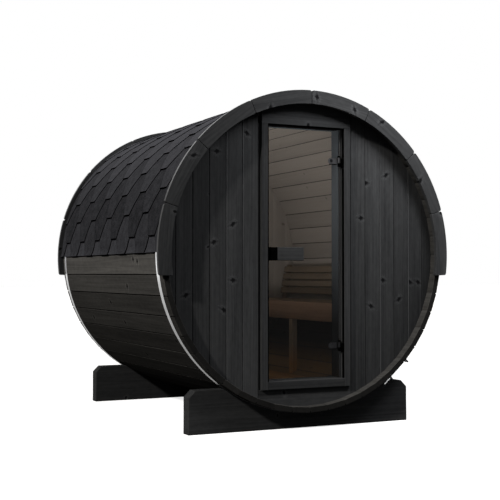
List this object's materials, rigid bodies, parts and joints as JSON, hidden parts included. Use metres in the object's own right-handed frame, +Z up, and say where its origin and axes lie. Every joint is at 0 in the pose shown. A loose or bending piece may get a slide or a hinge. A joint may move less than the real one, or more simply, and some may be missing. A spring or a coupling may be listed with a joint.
{
  "type": "barrel sauna",
  "caption": "Horizontal stave barrel sauna on two cradles, with shingled upper half, curved trims, steel bands, recessed plank wall and hinged glass door.",
  "frame": {"origin": "on the ground under the middle of the barrel", "axes": "+X to the right seen from the front, +Y from the front wall to the back along the barrel, +Z up"},
  "size_m": [2.06, 2.19, 2.13],
  "materials": {
    "black_stained_wood": "matt black stain on knotty spruce",
    "inside_wood": "planed, untreated",
    "bitumen_shingle": "mineral grit",
    "bright_steel": "bright rolled stainless",
    "brushed_steel": "brushed",
    "black_plastic": "satin",
    "bronze_glass": "bronze tinted, toughened"
  },
  "bodies": {
    "cabin": {"backrest_posts": "inside_wood", "bench_apron": "inside_wood", "bench_backrest": "inside_wood", "bench_bearers": "inside_wood", "bench_leg": "inside_wood", "bench_seat": "inside_wood", "cradle_front": "black_stained_wood", "cradle_rear": "black_stained_wood", "floor_boards": "inside_wood", "frame_sill": "black_stained_wood", "frame_stile_left": "black_stained_wood", "frame_stile_right": "black_stained_wood", "front_band": "bright_steel", "front_band_rod": "bright_steel", "front_header": "black_stained_wood", "front_sill_board": "black_stained_wood", "front_trim_left": "black_stained_wood", "front_trim_right": "black_stained_wood", "front_wall_left": "black_stained_wood", "front_wall_right": "black_stained_wood", "jamb_hinge_plates": "brushed_steel", "rear_band": "bright_steel", "rear_band_rod": "bright_steel", "rear_trim_left": "black_stained_wood", "rear_trim_right": "black_stained_wood", "rear_wall": "black_stained_wood", "roof_shingles_left": "bitumen_shingle", "roof_shingles_right": "bitumen_shingle", "staves_01": "black_stained_wood", "staves_02": "black_stained_wood", "staves_03": "black_stained_wood", "staves_04": "black_stained_wood", "staves_05": "black_stained_wood", "staves_06": "black_stained_wood", "staves_07": "black_stained_wood", "staves_08": "black_stained_wood", "staves_09": "black_stained_wood", "staves_10": "black_stained_wood", "staves_11": "black_stained_wood", "staves_12": "black_stained_wood"},
    "door": {"glass_door": "bronze_glass", "door_hinge_leaves": "brushed_steel", "handle_block": "black_plastic", "handle_grip": "black_stained_wood"}
  },
  "joints": [
    {"name": "door_hinge", "type": "hinge", "parent": "cabin", "child": "door", "pos_m": [0.253, -0.993, 1.1], "axis": [0, 0, 1], "range_deg": [0, 110]}
  ]
}
